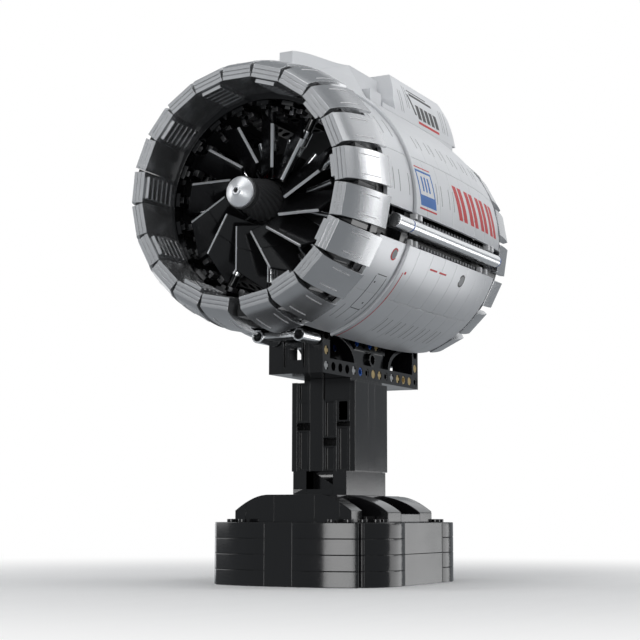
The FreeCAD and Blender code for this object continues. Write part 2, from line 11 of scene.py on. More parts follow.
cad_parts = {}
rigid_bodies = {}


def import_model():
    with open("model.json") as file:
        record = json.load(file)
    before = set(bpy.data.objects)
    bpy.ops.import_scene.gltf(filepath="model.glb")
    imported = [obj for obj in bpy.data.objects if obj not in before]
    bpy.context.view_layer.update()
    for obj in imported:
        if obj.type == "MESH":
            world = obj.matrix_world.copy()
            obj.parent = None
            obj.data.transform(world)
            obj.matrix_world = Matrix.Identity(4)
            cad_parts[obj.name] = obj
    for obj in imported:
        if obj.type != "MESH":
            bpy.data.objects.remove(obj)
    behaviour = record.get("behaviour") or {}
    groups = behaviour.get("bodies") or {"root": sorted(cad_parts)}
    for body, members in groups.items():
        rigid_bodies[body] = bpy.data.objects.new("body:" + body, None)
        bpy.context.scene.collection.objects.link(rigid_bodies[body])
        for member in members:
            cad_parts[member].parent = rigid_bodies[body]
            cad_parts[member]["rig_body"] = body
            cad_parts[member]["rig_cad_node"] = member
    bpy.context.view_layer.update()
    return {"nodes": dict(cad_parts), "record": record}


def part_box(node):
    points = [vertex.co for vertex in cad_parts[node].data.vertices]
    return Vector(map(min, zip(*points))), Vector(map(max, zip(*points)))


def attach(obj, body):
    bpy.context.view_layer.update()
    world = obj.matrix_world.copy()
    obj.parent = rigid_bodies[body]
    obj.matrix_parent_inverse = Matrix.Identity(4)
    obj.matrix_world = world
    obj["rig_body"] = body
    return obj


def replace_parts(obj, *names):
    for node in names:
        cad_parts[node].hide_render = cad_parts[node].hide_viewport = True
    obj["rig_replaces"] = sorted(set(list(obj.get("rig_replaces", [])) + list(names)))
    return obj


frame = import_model()
MM = 0.001
NODES = frame["nodes"]
SLOT_OF = {part["node"]: part["material_slot"] for part in frame["record"]["subparts"]}
BODY_OF = {name: node["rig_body"] for name, node in NODES.items()}
shaft_low, shaft_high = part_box("fan_shaft")
AXIS_Z = (shaft_low.z + shaft_high.z) / 2
print("nodes", len(NODES), "engine axis at", round(AXIS_Z / MM, 2), "mm")

# %% [markdown]
# A display model looks its best through a long lens held close to the table and tipped slightly up, so
# that the engine towers over its stand. A Track To constraint could aim the camera at a target; plain
# angles were chosen because they also give the slight roll. The camera is turned about the vertical
# first, then tipped, then rolled, which is the order of the three matrices.
# %% Camera
CAMERA_PLACE = (0.3701, -0.7206, 0.0355)
CAMERA_TURN, CAMERA_TIP, CAMERA_ROLL = (math.radians(a) for a in (27.841, 7.517, 0.125))
bpy.ops.object.camera_add(location=CAMERA_PLACE)
camera = bpy.context.object
camera.data.lens = 83.36
camera.data.sensor_width = 36
turn = Matrix.Rotation(CAMERA_TURN, 4, "Z") @ Matrix.Rotation(math.pi / 2 + CAMERA_TIP, 4, "X")
camera.rotation_euler = (turn @ Matrix.Rotation(CAMERA_ROLL, 4, "Z")).to_euler()
bpy.context.scene.camera = camera
print("camera lens", camera.data.lens, "mm")

# %% [markdown]
# Glossy bricks show little but the lamps around them, so each lamp is a large soft panel placed for its
# reflection. One low ahead draws the bright band down the stand's bowed front; the two at the sides and
# the low one give the shell and the inlet bricks their slow gradients; the ones behind light the upper
# shell and the rims. A sun or a point lamp would give hard small glints instead. The panels themselves
# stay out of the camera's sight.
# %% Lamps
TARGET = Vector((0, 0, 0.17))


def soft_panel(name, azimuth, elevation, distance, width, height, power):
    """A rectangular lamp that faces the engine. Azimuth 0 is straight ahead of the inlet."""
    a, e = math.radians(azimuth), math.radians(elevation)
    away = Vector((math.sin(a) * math.cos(e), -math.cos(a) * math.cos(e), math.sin(e)))
    bpy.ops.object.light_add(type="AREA", location=TARGET + away * distance)
    lamp = bpy.context.object
    lamp.name = name
    lamp.data.shape = "RECTANGLE"
    lamp.data.size, lamp.data.size_y = width, height
    lamp.data.energy = power
    lamp.rotation_euler = away.to_track_quat("Z", "Y").to_euler()
    lamp.visible_camera = False


soft_panel("lamp_front_low", 11, -6.5, 1.5, 0.58, 0.5, 5.9)
soft_panel("lamp_front_left", -30, 16, 1.4, 0.6, 0.42, 0.4)
soft_panel("lamp_front_high", -6, 40, 1.3, 0.5, 0.35, 2.6)
soft_panel("lamp_side_left", -80, 14, 1.3, 0.7, 0.9, 5.4)
soft_panel("lamp_side_right", 78, 38, 1.3, 0.8, 0.7, 1.9)
soft_panel("lamp_side_low", 138, -13, 1.3, 0.9, 0.42, 2.6)
soft_panel("lamp_rim_right", 126, 17, 1.3, 0.35, 0.8, 3.8)
soft_panel("lamp_back_high", 150, 42, 1.3, 1.0, 0.5, 0.95)
soft_panel("lamp_back", 180, 24, 1.6, 2.2, 0.7, 2.7)
soft_panel("lamp_rim_left", -125, 10, 1.3, 0.4, 0.9, 1.2)
soft_panel("lamp_top", 10, 80, 1.2, 0.8, 0.8, 2.9)

# %% [markdown]
# The room and every finish are made of nodes. In the Shader Editor each node is added, filled in and
# wired by hand; two small helpers do the same, one for any node and one for a sum.
# %% Node helpers


def add(tree, kind, *links, **values):
    """A node with its plain settings and socket values, and links given as (socket, source)."""
    node = tree.nodes.new(kind)
    for name, value in values.items():
        if name in node.inputs:
            node.inputs[name].default_value = value
        else:
            setattr(node, name, value)
    for socket, source in links:
        tree.links.new(source, node.inputs[socket])
    return node


def maths(tree, operation, a, b):
    """The output of a Math node whose two values are numbers or other outputs."""
    node = add(tree, "ShaderNodeMath", operation=operation)
    for socket, value in ((0, a), (1, b)):
        if isinstance(value, (int, float)):
            node.inputs[socket].default_value = value
        else:
            tree.links.new(value, node.inputs[socket])
    return node.outputs[0]


print("helpers for nodes are ready")

# %% [markdown]
# A white studio lights black bricks too evenly. So the room is white only where the camera sees it, dim
# for soft light and a little brighter for reflections. Light Path says which kind of ray is asking, and
# two Mix Shaders choose between three backgrounds.
# %% Room
world = bpy.data.worlds.new("studio_room")
bpy.context.scene.world = world
world.use_nodes = True
room = world.node_tree
room.nodes.clear()
seen = add(room, "ShaderNodeBackground", Color=(1, 1, 1, 1), Strength=1.0)
soft = add(room, "ShaderNodeBackground", Color=(0.92, 0.96, 1.0, 1), Strength=0.2)
mirrored = add(room, "ShaderNodeBackground", Color=(0.9, 0.95, 1.0, 1), Strength=0.34)
ray = add(room, "ShaderNodeLightPath")
unseen = add(room, "ShaderNodeMixShader", (0, ray.outputs["Is Glossy Ray"]), (1, soft.outputs[0]),
             (2, mirrored.outputs[0]))
whole = add(room, "ShaderNodeMixShader", (0, ray.outputs["Is Camera Ray"]), (1, unseen.outputs[0]),
            (2, seen.outputs[0]))
add(room, "ShaderNodeOutputWorld", ("Surface", whole.outputs[0]))
bpy.context.scene.view_settings.view_transform = "Standard"
print("room lights softly at", soft.inputs["Strength"].default_value)

# %% [markdown]
# The floor is one very large plane, so that its edge never shows. A curved studio backdrop would hide the
# edge too, but it would stand in the way when the engine is seen from behind. The floor takes the shadow
# and is left out of reflections, because a pale floor would turn the black bricks grey.
# %% Floor
bpy.ops.mesh.primitive_plane_add(size=60, location=(0, 0, 0))
floor = bpy.context.object
floor.name = "floor"
floor.visible_glossy = False
floor.visible_diffuse = False
print("floor", floor.dimensions.x, "m wide")

# %% [markdown]
# Moulded plastic is never one flat colour. Four small effects are shared by the finishes, each a node
# group with its own inputs, so that a change to the effect reaches every finish. Image textures would
# also do, but noise needs no file and has no seams. The first effect is the grain that the mould leaves,
# over broad shallow hollows where thick walls shrank.
# %% Moulding grain


def group(name, inputs, outputs):
    """An empty node group with named float or colour sockets."""
    tree = bpy.data.node_groups.new(name, "ShaderNodeTree")
    for socket, kind, value in inputs:
        made = tree.interface.new_socket(socket, in_out="INPUT", socket_type="NodeSocket" + kind)
        made.default_value = value
    for socket, kind in outputs:
        tree.interface.new_socket(socket, in_out="OUTPUT", socket_type="NodeSocket" + kind)
    return tree, tree.nodes.new("NodeGroupInput"), tree.nodes.new("NodeGroupOutput")


def make_grain():
    """Height of the fine texture that the mould leaves, with slight hollows where walls shrank."""
    tree, given, result = group("moulding_grain", [("Fineness", "Float", 2500.0), ("Sink", "Float", 0.5)],
                                [("Height", "Float")])
    place = add(tree, "ShaderNodeTexCoord")
    fine = add(tree, "ShaderNodeTexNoise", ("Vector", place.outputs["Object"]),
               ("Scale", given.outputs["Fineness"]), Detail=2.0)
    slow = add(tree, "ShaderNodeTexNoise", ("Vector", place.outputs["Object"]), Scale=90.0, Detail=1.0)
    hollows = maths(tree, "MULTIPLY", slow.outputs["Fac"], given.outputs["Sink"])
    tree.links.new(maths(tree, "ADD", maths(tree, "MULTIPLY", fine.outputs["Fac"], 0.12), hollows),
                   result.inputs["Height"])
    return tree


GRAIN = make_grain()
print("made", GRAIN.name)

# %% [markdown]
# In silver and pearl bricks the pigment flows with the plastic and leaves faint streaks, with a few
# brighter flakes. A stretched noise mixes two close colours, and a Voronoi raised to a high power picks
# out the flakes; a plain mix of colours would look painted.
# %% Pearl swirl


def make_swirl():
    """Two close colours mixed along slow streaks, with sparse brighter flakes."""
    tree, given, result = group("pearl_swirl", [("Deep", "Color", (0.5, 0.5, 0.5, 1)),
                                                ("Light", "Color", (0.6, 0.6, 0.6, 1)),
                                                ("Flakes", "Float", 0.2)], [("Color", "Color")])
    place = add(tree, "ShaderNodeTexCoord")
    stretch = add(tree, "ShaderNodeMapping", ("Vector", place.outputs["Object"]), Scale=(1.0, 0.25, 1.0))
    streak = add(tree, "ShaderNodeTexNoise", ("Vector", stretch.outputs["Vector"]), Scale=60.0, Detail=3.0,
                 Distortion=1.2)
    flake = add(tree, "ShaderNodeTexVoronoi", ("Vector", place.outputs["Object"]), Scale=4200.0)
    spark = maths(tree, "POWER", add(tree, "ShaderNodeSeparateColor",
                                     ("Color", flake.outputs["Color"])).outputs["Red"], 6.0)
    sparks = maths(tree, "MULTIPLY", spark, given.outputs["Flakes"])
    amount = maths(tree, "ADD", sparks, streak.outputs["Fac"])
    mix = add(tree, "ShaderNodeMix", data_type="RGBA")
    tree.links.new(amount, mix.inputs["Factor"])
    tree.links.new(given.outputs["Deep"], mix.inputs[6])
    tree.links.new(given.outputs["Light"], mix.inputs[7])
    tree.links.new(mix.outputs[2], result.inputs["Color"])
    return tree


SWIRL = make_swirl()
print("made", SWIRL.name)

# %% [markdown]
# Handling never changes the colour of a brick, only its gloss. Two noises, one stretched like a wipe
# and one round like a fingertip, move the roughness up and down around its middle value.
# %% Handling marks


def make_marks():
    """Roughness with faint wiped streaks and finger marks around a middle value."""
    tree, given, result = group("handling_marks", [("Roughness", "Float", 0.3), ("Spread", "Float", 0.08)],
                                [("Roughness", "Float")])
    place = add(tree, "ShaderNodeTexCoord")
    stretch = add(tree, "ShaderNodeMapping", ("Vector", place.outputs["Object"]), Scale=(1.0, 0.2, 0.6),
                  Rotation=(0.3, 0.2, 0.5))
    wipe = add(tree, "ShaderNodeTexNoise", ("Vector", stretch.outputs["Vector"]), Scale=260.0, Detail=4.0)
    touch = add(tree, "ShaderNodeTexNoise", ("Vector", place.outputs["Object"]), Scale=45.0, Detail=2.0)
    both = maths(tree, "SUBTRACT", maths(tree, "ADD", wipe.outputs["Fac"], touch.outputs["Fac"]), 1.0)
    tree.links.new(maths(tree, "ADD", maths(tree, "MULTIPLY", both, given.outputs["Spread"]),
                         given.outputs["Roughness"]), result.inputs["Roughness"])
    return tree


MARKS = make_marks()
print("made", MARKS.name)

# %% [markdown]
# Outer edges are lightened, a painted highlight where the edges would catch the light. A second material
# on every bevel would need its faces picked out on each brick. Geometry's Pointiness is high on outer
# edges by itself, and Map Range turns a narrow band of it into a mask.
# %% Painted edge highlight


def make_edge_highlight():
    """A colour that lightens a little along outer edges: a painted highlight where they catch the light."""
    tree, given, result = group("rubbed_edges", [("Color", "Color", (0.5, 0.5, 0.5, 1)),
                                                 ("Worn", "Color", (0.8, 0.8, 0.8, 1)),
                                                 ("Amount", "Float", 0.3)], [("Color", "Color")])
    shape = add(tree, "ShaderNodeNewGeometry")
    edge = add(tree, "ShaderNodeMapRange", ("Value", shape.outputs["Pointiness"]))
    edge.inputs["From Min"].default_value = 0.52
    edge.inputs["From Max"].default_value = 0.62
    mix = add(tree, "ShaderNodeMix", data_type="RGBA")
    # The edge mask scales a painted highlight: outer edges get a lighter colour where they would catch the
    # light.
    edge_highlight_mask = maths(tree, "MULTIPLY", edge.outputs["Result"], given.outputs["Amount"])
    tree.links.new(edge_highlight_mask, mix.inputs["Factor"])
    tree.links.new(given.outputs["Color"], mix.inputs[6])
    tree.links.new(given.outputs["Worn"], mix.inputs[7])
    tree.links.new(mix.outputs[2], result.inputs["Color"])
    return tree


EDGE_HIGHLIGHT = make_edge_highlight()
print("shared effects", [g.name for g in (GRAIN, SWIRL, MARKS, EDGE_HIGHLIGHT)])

# %% [markdown]
# Each finish is one Principled shader fed by those effects. Black and the coloured pins are plain glossy
# plastic. The silver and pearl bricks have metal pigment, so they are partly metallic and a little
# rougher, which spreads each lamp into a long soft sheen. Handling marks and grain that are not wanted
# are left out rather than turned down, and then their socket holds a plain value.
# %% Plastic finish


def plastic(name, deep, light, rough, metallic=0.0, flakes=0.0, spread=0.06, bump=0.02, highlight_amount=0.15):
    """A moulded plastic between a deep and a light colour."""
    material = bpy.data.materials.new(name)
    material.use_nodes = True
    tree = material.node_tree
    tree.nodes.clear()
    shader = add(tree, "ShaderNodeBsdfPrincipled", Metallic=metallic)
    swirl = add(tree, "ShaderNodeGroup", node_tree=SWIRL)
    swirl.inputs["Deep"].default_value = (*deep, 1)
    swirl.inputs["Light"].default_value = (*light, 1)
    swirl.inputs["Flakes"].default_value = flakes
    edges = add(tree, "ShaderNodeGroup", ("Color", swirl.outputs["Color"]), node_tree=EDGE_HIGHLIGHT)
    # The lighter edge colour is a painted highlight along the outer edges.
    edges.inputs["Worn"].default_value = (*[min(1.0, c * 1.5 + 0.03) for c in light], 1)
    edges.inputs["Amount"].default_value = highlight_amount
    tree.links.new(edges.outputs["Color"], shader.inputs["Base Color"])
    shader.inputs["Roughness"].default_value = rough
    if spread:
        marks = add(tree, "ShaderNodeGroup", node_tree=MARKS)
        marks.inputs["Roughness"].default_value = rough
        marks.inputs["Spread"].default_value = spread
        tree.links.new(marks.outputs["Roughness"], shader.inputs["Roughness"])
    if bump:
        grain = add(tree, "ShaderNodeGroup", node_tree=GRAIN)
        relief = add(tree, "ShaderNodeBump", ("Height", grain.outputs["Height"]), Strength=bump,
                     Distance=0.0006)
        tree.links.new(relief.outputs["Normal"], shader.inputs["Normal"])
    result = add(tree, "ShaderNodeOutputMaterial")
    tree.links.new(shader.outputs["BSDF"], result.inputs["Surface"])
    return material


print("one shader serves every plastic")

# %% [markdown]
# Every plastic of the model is now one line: two close colours, a roughness, and how much metal it has.
# Black is nearly a mirror, so its colour is almost nothing and the lamps make the picture. The silver
# bricks are lacquered and quite even, so they take no grain.
# %% Plastics
FINISH = {
    "black_plastic": plastic("black_gloss", (0.004, 0.004, 0.0045), (0.007, 0.007, 0.008), 0.15, bump=0.04),
    "silver_plastic": plastic("metallic_silver", (0.47, 0.475, 0.485), (0.56, 0.565, 0.575), 0.27,
                              metallic=0.88, spread=0.0, bump=0.0, highlight_amount=0.0),
    "pale_plastic": plastic("pearl_silver", (0.66, 0.67, 0.69), (0.74, 0.75, 0.77), 0.33, metallic=0.3,
                            flakes=0.15, bump=0.008),
    "white_plastic": plastic("white_gloss", (0.80, 0.80, 0.81), (0.86, 0.86, 0.87), 0.28),
    "bright_silver": plastic("lacquered_silver", (0.80, 0.81, 0.82), (0.9, 0.91, 0.92), 0.22, metallic=0.95),
    "grey_plastic": plastic("mid_grey", (0.36, 0.37, 0.38), (0.44, 0.45, 0.46), 0.28),
    "tan_plastic": plastic("tan", (0.50, 0.36, 0.13), (0.58, 0.43, 0.18), 0.3),
    "blue_plastic": plastic("blue", (0.01, 0.09, 0.42), (0.02, 0.13, 0.55), 0.25),
    "red_plastic": plastic("red", (0.42, 0.01, 0.012), (0.52, 0.015, 0.02), 0.3),
}
MATT = plastic("black_matt", (0.003, 0.003, 0.0035), (0.005, 0.005, 0.006), 0.62)
print("plastics", sorted(FINISH))

# %% [markdown]
# The marks on a brick are printed, and ink is duller than the plastic under it, whatever its colour. A
# picture laid on the brick could hold them, but as pieces of their own they need only a colour and a
# higher roughness, which the same shader gives.
# %% Inks
INK = {
    "black_plastic": plastic("black_print", (0.02, 0.02, 0.022), (0.03, 0.03, 0.032), 0.45),
    "grey_plastic": plastic("grey_print", (0.20, 0.205, 0.21), (0.25, 0.255, 0.26), 0.45),
    "red_plastic": plastic("red_print", (0.55, 0.006, 0.01), (0.62, 0.01, 0.014), 0.45),
    "blue_plastic": plastic("blue_print", (0.01, 0.12, 0.45), (0.015, 0.16, 0.52), 0.45),
}
print("inks", sorted(INK))

# %% [markdown]
# The floor is matt paper near the stand, where it holds the shadow, and fades into the white of the room
# farther out. The distance from the middle, through a smooth Map Range, blends the paper into a plain
# white Emission, so no horizon shows.
# %% Floor paper
FADE = (0.12, 0.55)
paper = plastic("floor_paper", (0.86, 0.86, 0.86), (0.9, 0.9, 0.9), 0.9, bump=0.01, highlight_amount=0.0)
tree = paper.node_tree
spot = add(tree, "ShaderNodeTexCoord")
away = add(tree, "ShaderNodeVectorMath", ("Vector", spot.outputs["Object"]), operation="LENGTH")
fade = add(tree, "ShaderNodeMapRange", ("Value", away.outputs["Value"]), interpolation_type="SMOOTHSTEP")
fade.inputs["From Min"].default_value, fade.inputs["From Max"].default_value = FADE
bright = add(tree, "ShaderNodeEmission", Strength=1.0)
blend = add(tree, "ShaderNodeMixShader", (0, fade.outputs["Result"]), (2, bright.outputs[0]))
tree.links.new(next(n for n in tree.nodes if n.type == "BSDF_PRINCIPLED").outputs[0], blend.inputs[1])
tree.links.new(blend.outputs[0], next(n for n in tree.nodes if n.type == "OUTPUT_MATERIAL").inputs[0])
floor.data.materials.append(paper)
print("the floor fades to white between", FADE, "m")

# %% [markdown]
# Real bricks have small rounded edges, and it is those edges that catch the light and draw the lines
# between bricks. A Bevel modifier limited by angle rounds them all at once; doing it by hand in edit mode
# would mean selecting every edge. Weighted Normal then keeps the large flat faces flat.
# %% Rounding edges
EDGE = 0.22


def fresh():
    """Leaves edit mode and selects nothing, because an operator acts on all that is selected."""
    if bpy.context.object and bpy.context.object.mode != "OBJECT":
        bpy.ops.object.mode_set(mode="OBJECT")
    bpy.ops.object.select_all(action="DESELECT")


def activate(piece):
    """Selects one piece alone and makes it the active one."""
    fresh()
    piece.select_set(True)
    bpy.context.view_layer.objects.active = piece


def apply_modifier(piece, kind, **settings):
    """Adds a modifier, sets it up and applies it."""
    activate(piece)
    modifier = piece.modifiers.new(kind.lower(), kind)
    for name, value in settings.items():
        setattr(modifier, name, value)
    bpy.ops.object.modifier_apply(modifier=modifier.name)


def soften(piece, width):
    """Rounds the sharp edges, then shades the faces so that flat ones stay flat."""
    apply_modifier(piece, "BEVEL", width=width * MM, segments=2, limit_method="ANGLE",
                   angle_limit=math.radians(32), miter_outer="MITER_ARC")
    bpy.ops.object.shade_smooth_by_angle(angle=math.radians(40))
    apply_modifier(piece, "WEIGHTED_NORMAL", keep_sharp=True)


print("a plain brick edge is rounded by", EDGE, "mm")

# %% [markdown]
# The frame's meshes are loose triangles, which a Bevel would tear. So each is copied and welded with Merge
# by Distance, and Limited Dissolve turns its flat triangles back into whole faces. Bricks that touch must
# not be welded to each other: the solids are moved far apart first and brought back after.
# %% Welding
APART = 0.5
SEAM = 0.004 * MM


def solids(mesh):
    """Groups of triangles: a solid is complete when each edge has met its partner."""
    waiting, groups, current = set(), [], []
    corner = [tuple(round(c * 1e6) for c in v.co) for v in mesh.vertices]
    for face in mesh.polygons:
        ids = [corner[v] for v in face.vertices]
        for a, b in zip(ids, ids[1:] + ids[:1]):
            if (b, a) in waiting:
                waiting.remove((b, a))
            elif a != b:
                waiting.add((a, b))
        current.append(face.index)
        if not waiting:
            groups.append(current)
            current = []
    return groups + ([current] if current else [])


def weld(piece):
    """Joins the triangles of each solid, and merges flat triangles into whole faces."""
    mesh, moved = piece.data, set()
    groups = solids(mesh)
    for i, faces in enumerate(groups):
        for v in {v for f in faces for v in mesh.polygons[f].vertices} - moved:
            mesh.vertices[v].co.x += i * APART
            moved.add(v)
    activate(piece)
    bpy.ops.object.mode_set(mode="EDIT")
    bpy.ops.mesh.select_all(action="SELECT")
    bpy.ops.mesh.customdata_custom_splitnormals_clear()
    bpy.ops.mesh.remove_doubles(threshold=SEAM)
    bpy.ops.mesh.dissolve_limited(angle_limit=math.radians(0.6))
    bpy.ops.object.mode_set(mode="OBJECT")
    for v in mesh.vertices:
        v.co.x -= round(v.co.x / APART) * APART


print("solids are welded", APART, "m apart")

# %% [markdown]
# A finished piece is told three things: the body it rides on, the kind of material it has, and the frame's
# pieces that it stands for. Pieces that need no new model are simply copies with rounded edges.
# %% Placing and copying


def place(piece, body, slot, finish, *nodes):
    """Gives a finished piece its body and material, and names the nodes it stands for. The slot is not used.
    """
    piece.data.materials.clear()
    piece.data.materials.append(finish)
    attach(piece, body)
    if nodes:
        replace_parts(piece, *nodes)
    return piece


def copied(node):
    """A welded copy of a node, free of its notes."""
    activate(NODES[node])
    bpy.ops.object.duplicate()
    piece = bpy.context.object
    piece.name = node + "_moulded"
    piece.parent = None
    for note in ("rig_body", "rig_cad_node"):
        del piece[note]
    weld(piece)
    return piece


def finished(piece, node, width=0.18, finish=None):
    """Rounds a piece and gives it the body and material of the node that it stands for."""
    soften(piece, width)
    slot = SLOT_OF[node]
    return place(piece, BODY_OF[node], slot, finish or FINISH[slot], node)


print("nodes to model or round", len(NODES))

# %% [markdown]
# The shell is laid from curved bricks in rows, and a curved brick is a flat section turned about the
# engine's axis. So each is drawn as a chain of extruded vertices, filled, and swept with Spin: one short
# list of (y, radius) numbers gives the wall, and the sweep gives the true curve. An array of bent boxes
# would work too, but its curve would only be as good as the bend. Full turns spin the edges alone,
# because a filled section would leave a wall inside.
# %% Outlines and turned sections
CENTRE = (0.0, 0.0, AXIS_Z)
TOUCH = 0.002 * MM


def around(y, radius, angle):
    """The point at y mm and radius mm, at an angle clockwise from the top as seen from the inlet."""
    a = math.radians(angle)
    return Vector((radius * MM * math.sin(a), y * MM, AXIS_Z + radius * MM * math.cos(a)))


def chain(points):
    """A filled outline through the points, left in edit mode."""
    fresh()
    bpy.ops.mesh.primitive_plane_add(size=MM, location=(0, 0, 0))
    piece = bpy.context.object
    bpy.ops.object.mode_set(mode="EDIT")
    bpy.ops.mesh.select_all(action="SELECT")
    bpy.ops.mesh.merge(type="CENTER")
    bpy.ops.transform.translate(value=points[0])
    for a, b in zip(points, points[1:]):
        bpy.ops.mesh.extrude_vertices_move(TRANSFORM_OT_translate={"value": b - a})
    bpy.ops.mesh.select_all(action="SELECT")
    bpy.ops.mesh.edge_face_add()
    return piece


def closed_up():
    """Ends edit mode with doubles merged and every face turned outward."""
    bpy.ops.mesh.select_all(action="SELECT")
    bpy.ops.mesh.remove_doubles(threshold=TOUCH)
    bpy.ops.mesh.normals_make_consistent(inside=False)
    bpy.ops.object.mode_set(mode="OBJECT")


def swept(points, start, end, step=4.0):
    """A section of (y, radius) points swept from one angle to another."""
    piece = chain([around(y, r, start) for y, r in points])
    bpy.ops.mesh.spin(steps=max(1, round((end - start) / step)), angle=-math.radians(end - start),
                      center=CENTRE, axis=(0, 1, 0))
    closed_up()
    return piece


def lathe(points, steps=64):
    """A section of (y, radius) points turned all the way round."""
    piece = chain([around(y, r, 0) for y, r in points])
    bpy.ops.mesh.delete(type="ONLY_FACE")
    bpy.ops.mesh.select_all(action="SELECT")
    bpy.ops.mesh.spin(steps=steps, angle=2 * math.pi, center=CENTRE, axis=(0, 1, 0))
    closed_up()
    return piece


print("sections turn about z", round(AXIS_Z / MM, 1), "mm")

# %% [markdown]
# A row of bricks becomes one piece with Join, and the engine's other side is a duplicate scaled by -1
# across the middle. Such a scale turns the faces inside out, so the normals are recalculated. A Mirror
# modifier would tie both sides to one object, but each door has to ride on its own body.
# %% Joining and mirroring


def joined(pieces, name):
    """Joins the pieces into the first one and names it."""
    activate(pieces[0])
    for piece in pieces:
        piece.select_set(True)
    if len(pieces) > 1:
        bpy.ops.object.join()
    bpy.context.object.name = name
    return bpy.context.object


def mirror_of(piece, name):
    """The same piece on the engine's other side."""
    activate(piece)
    bpy.ops.object.duplicate()
    copy = bpy.context.object
    copy.name = name
    bpy.ops.object.mode_set(mode="EDIT")
    bpy.ops.mesh.select_all(action="SELECT")
    bpy.ops.transform.resize(value=(-1, 1, 1), center_override=(0, 0, 0))
    closed_up()
    return copy


print("the left side mirrors the right across x = 0")

# %% [markdown]
# The shell swells gently from front to back. Its radius isn't typed in again but read from the frame's
# own mesh: the outermost point at each y, without those of the inner wall. A straight line between two
# neighbours then gives the radius anywhere.
# %% Skin of the shell
LIP = 3.0


def outer(points):
    """The points on the outer side of a profile, without those of its inner side."""
    kept = []
    for p in sorted(points):
        while len(kept) > 1 and ((kept[-1][0] - kept[-2][0]) * (p[1] - kept[-2][1])
                                 >= (kept[-1][1] - kept[-2][1]) * (p[0] - kept[-2][0])):
            kept.pop()
        kept.append(p)
    return kept


def skin_of(node):
    """Radius of a shell's outer skin at any y, in mm, behind the lip at its front edge."""
    farthest = {}
    for v in NODES[node].data.vertices:
        p = NODES[node].matrix_world @ v.co
        y, r = round(p.y / MM, 1), math.hypot(p.x, p.z - AXIS_Z) / MM
        farthest[y] = max(r, farthest.get(y, 0.0))
    table = outer((y, r) for y, r in farthest.items() if y > min(farthest) + LIP)

    def radius(y):
        for (y0, r0), (y1, r1) in zip(table, table[1:]):
            if y <= y1 or (y1, r1) == table[-1]:
                return r0 + (r1 - r0) * (y - y0) / (y1 - y0)
    return radius


COWL_SKIN, COLLAR_SKIN = skin_of("cowl_lower_right"), skin_of("collar_upper")
cowl_low, cowl_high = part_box("door_right")
COWL_Y = (cowl_low.y / MM, cowl_high.y / MM)
print("cowl skin", [round(COWL_SKIN(y), 2) for y in (COWL_Y[0], 0, COWL_Y[1])], "mm, from", COWL_Y)

# %% [markdown]
# Rows of bricks are laid like masonry, so each row's joints fall halfway along its neighbour's bricks.
# Each brick is swept on its own with a hairline gap to the next, and rounded, which draws the fine dark
# joints and the light that runs along them. The left side is a mirror image of the right.
# %% Shell bricks
GAP = 0.07
WALL = 2.2
SHELL_RADIUS = 69
NEAR_SPLIT = [-33.5 + 16 * k for k in range(7)]
AWAY = [-25.5 + 16 * k for k in range(7)]
DOOR_ROWS = (14.6, 70.0, 95.5)
LOWER_ROWS = (109.2, 134.3, 162.5)


def stations(y0, y1):
    """Places along the engine from y0 to y1, about 4 mm apart, where the skin is read."""
    count = max(1, round((y1 - y0) / 4))
    return [y0 + (y1 - y0) * i / count for i in range(count + 1)]


def brick(skin, y0, y1, start, end):
    """One curved brick of the shell, with hairline gaps at its four sides."""
    turn = math.degrees(GAP / SHELL_RADIUS)
    y0, y1 = y0 + GAP, y1 - GAP
    top = [(y, skin(y)) for y in stations(y0, y1)]
    return swept(top + [(y1, skin(y1) - WALL), (y0, skin(y0) - WALL)], start + turn, end - turn, 2.0)


def shell(skin, ends, angles, seams_of_rows):
    """Rows of bricks between one angle and the next, each row with its own seams."""
    bricks = []
    for start, end, seams in zip(angles, angles[1:], seams_of_rows):
        cuts = [ends[0]] + [y for y in seams if ends[0] + 3 < y < ends[1] - 3] + [ends[1]]
        bricks += [brick(skin, a, b, start, end) for a, b in zip(cuts, cuts[1:])]
    return bricks


def bead(start, end):
    """The raised rib along the cowl's front edge."""
    y = COWL_Y[0]
    return swept([(y, 67.6), (y, 69.7), (y + 0.5, 70.1), (y + 1.7, 70.1), (y + 2.4, 69.6), (y + 2.5, 67.6)],
                 start, end)


print("bricks in a row:", len(AWAY) + 1, "and wall", WALL, "mm")

# %% [markdown]
# Each upper door and each lower cowl is two rows of bricks and the raised rib along its front edge. One
# large plate with grooves would be simpler, but then the light wouldn't run along each brick's own edge.
# The right side is laid first and mirrored before its edges are rounded, so both sides are rounded alike.
# %% Doors and lower cowls
cowl_ends = (COWL_Y[0] + 2.6, COWL_Y[1])
door = shell(COWL_SKIN, cowl_ends, DOOR_ROWS, (AWAY, NEAR_SPLIT)) + [bead(DOOR_ROWS[0], DOOR_ROWS[-1])]
lower = shell(COWL_SKIN, cowl_ends, LOWER_ROWS, (NEAR_SPLIT, AWAY)) + [bead(LOWER_ROWS[0], LOWER_ROWS[-1])]
for bricks, name in ((door, "door"), (lower, "cowl_lower")):
    piece = joined(bricks, name + "_right_bricks")
    finished(mirror_of(piece, name + "_left_bricks"), name + "_left")
    finished(piece, name + "_right")
print("a door has", len(door), "parts and a lower cowl", len(lower))

